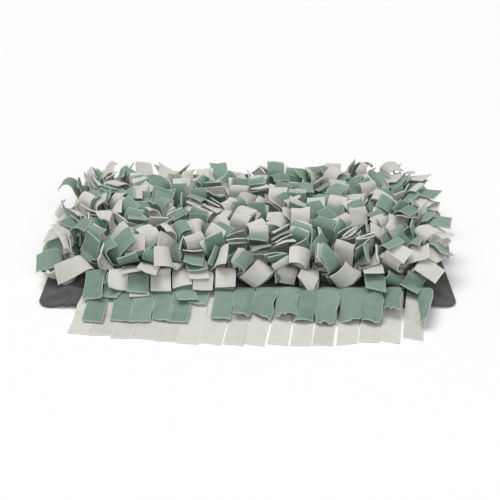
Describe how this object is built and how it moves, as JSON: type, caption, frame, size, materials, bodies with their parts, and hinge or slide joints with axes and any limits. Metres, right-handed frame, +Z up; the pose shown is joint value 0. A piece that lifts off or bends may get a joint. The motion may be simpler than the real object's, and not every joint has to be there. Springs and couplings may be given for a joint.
{
  "type": "snuffle mat",
  "caption": "Rectangular pet feeding mat: a thin dark base cloth with rows of two-layer fleece strips sewn on, in sage green and cream, the front row lying on the floor.",
  "frame": {"origin": "middle of the base cloth's flat underside, on the floor", "axes": "+X along the mat's long side to the right, +Y to the back, away from the strips that lie on the floor, +Z up"},
  "size_m": [0.5262, 0.4533, 0.074],
  "materials": {
    "base_grey": "matt woven cloth",
    "fleece_green": "matt brushed fleece",
    "fleece_cream": "matt brushed fleece"
  },
  "bodies": {
    "root": {"base_cloth": "base_grey", "strip_row_1": "fleece_green", "strip_row_2": "fleece_cream", "strip_row_3": "fleece_green", "strip_row_4": "fleece_cream", "strip_row_5": "fleece_green", "strip_row_6": "fleece_cream", "strip_row_7": "fleece_green", "strip_row_8": "fleece_cream"}
  },
  "joints": []
}
